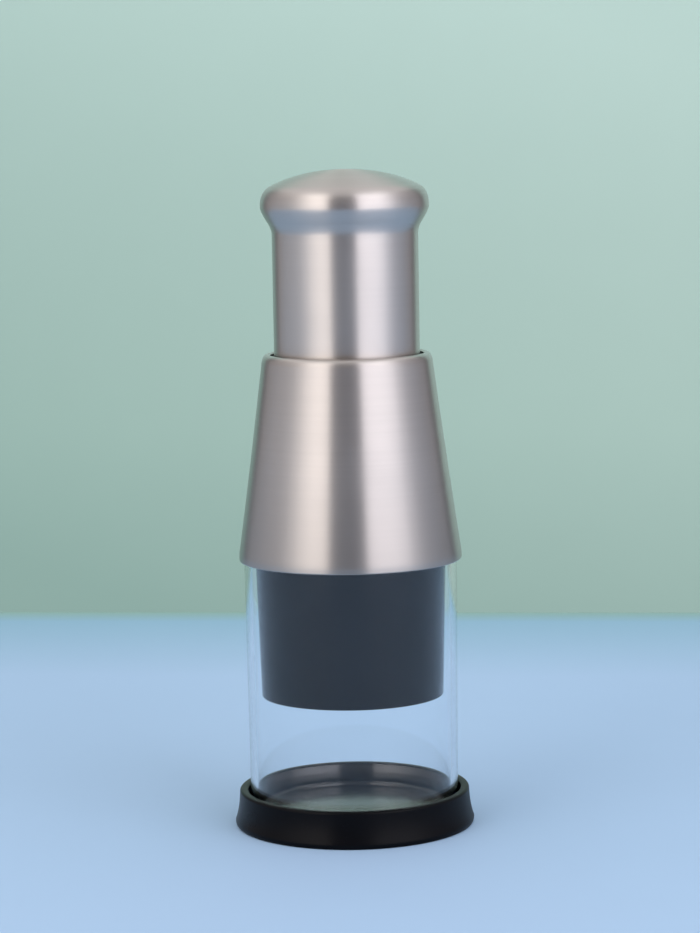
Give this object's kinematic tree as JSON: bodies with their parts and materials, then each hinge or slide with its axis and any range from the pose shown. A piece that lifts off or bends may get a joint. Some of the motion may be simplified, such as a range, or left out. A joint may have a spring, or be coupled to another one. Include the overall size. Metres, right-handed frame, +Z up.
{
  "type": "vegetable chopper",
  "caption": "Push-down vegetable chopper: steel palm knob and cone head on a clear cup, sprung plunger, turning zigzag blade and black base cap.",
  "frame": {"origin": "centre of the base cap's underside, on the surface that it stands on", "axes": "+Z up along the plunger's axis; the part is round, so +Y has no special meaning"},
  "size_m": [0.086, 0.086, 0.2343],
  "materials": {
    "brushed_shell": "satin brushed stainless steel, brushed round the axis",
    "blade_steel": "polished stainless strip with a ground edge",
    "spring_steel": "drawn stainless wire",
    "plated_steel": "zinc-plated steel",
    "clear_plastic": "clear moulded plastic, glossy",
    "black_cap": "glossy black soft plastic",
    "black_guard": "semi-gloss black moulded plastic",
    "grey_plastic": "plain moulded plastic, hidden inside",
    "acetal": "slippery white bearing plastic"
  },
  "bodies": {
    "base": {"base_cap": "black_cap"},
    "cup": {"clear_cup": "clear_plastic"},
    "head": {"cone_shell": "brushed_shell", "inner_frame": "grey_plastic", "top_guide": "acetal", "blade_guard": "black_guard", "index_nut": "acetal", "pawl_ring": "acetal", "ratchet_cover": "grey_plastic", "cover_screw_1": "plated_steel", "cover_screw_2": "plated_steel", "cover_screw_3": "plated_steel", "return_spring": "spring_steel"},
    "plunger": {"plunger_shell": "brushed_shell", "plunger_liner": "grey_plastic", "palm_core": "grey_plastic", "spring_seat": "plated_steel", "core_screw_1": "plated_steel", "core_screw_2": "plated_steel", "core_screw_3": "plated_steel"},
    "cutter": {"drive_shaft": "plated_steel", "swivel_washer": "plated_steel", "shaft_screw": "plated_steel", "blade_hub": "black_guard", "zigzag_blade": "blade_steel", "blade_pin_1": "plated_steel", "blade_pin_2": "plated_steel", "hub_screw": "plated_steel"}
  },
  "joints": [
    {"name": "cup_lift", "type": "slide", "parent": "base", "child": "cup", "axis": [0, 0, 1], "range_m": [0, 0.03]},
    {"name": "head_lift", "type": "slide", "parent": "cup", "child": "head", "axis": [0, 0, 1], "range_m": [0, 0.1]},
    {"name": "plunger_press", "type": "slide", "parent": "head", "child": "plunger", "axis": [0, 0, -1], "range_m": [0, 0.042], "stiffness_N_per_m": 500, "springref_m": -0.02, "deforming": ["return_spring"]},
    {"name": "blade_turn", "type": "hinge", "parent": "plunger", "child": "cutter", "pos_m": [0, 0, 0], "axis": [0, 0, 1], "range_deg": [0, 60]}
  ],
  "couplings": [
    {"joint": "blade_turn", "follows": "plunger_press", "rad_per_m": 24.93}
  ]
}
